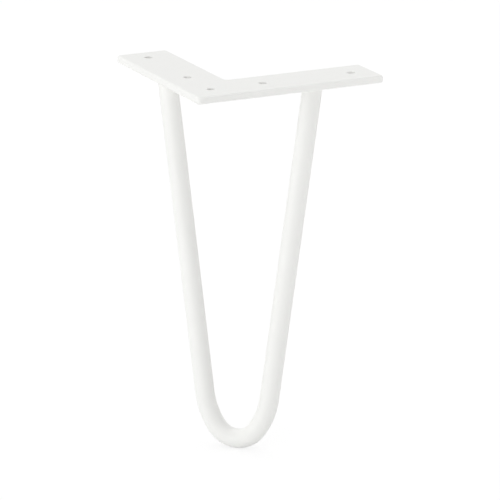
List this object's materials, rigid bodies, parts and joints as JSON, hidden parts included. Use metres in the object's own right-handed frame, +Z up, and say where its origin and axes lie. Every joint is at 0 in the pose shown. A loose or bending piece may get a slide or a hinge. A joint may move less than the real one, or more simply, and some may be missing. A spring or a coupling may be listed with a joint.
{
  "type": "hairpin furniture leg",
  "caption": "Furniture leg: an L-shaped screw plate on top and one round bar bent into a hairpin loop below, its ends welded under the plate's arms.",
  "frame": {"origin": "middle of the corner screw hole, on the plate's top (mounting) face", "axes": "+Z up, out of the mounting face towards the furniture; +X along one arm of the plate and +Y along the other, from the corner hole through the other screw holes; the floor is at z = -0.2 m"},
  "size_m": [0.103, 0.103, 0.2],
  "materials": {
    "white_powder_coat": "smooth satin white powder coat over welded mild steel"
  },
  "bodies": {
    "root": {"mounting_plate": "white_powder_coat", "hairpin_rod": "white_powder_coat", "weld_bead_x_arm": "white_powder_coat", "weld_bead_y_arm": "white_powder_coat"}
  },
  "joints": []
}
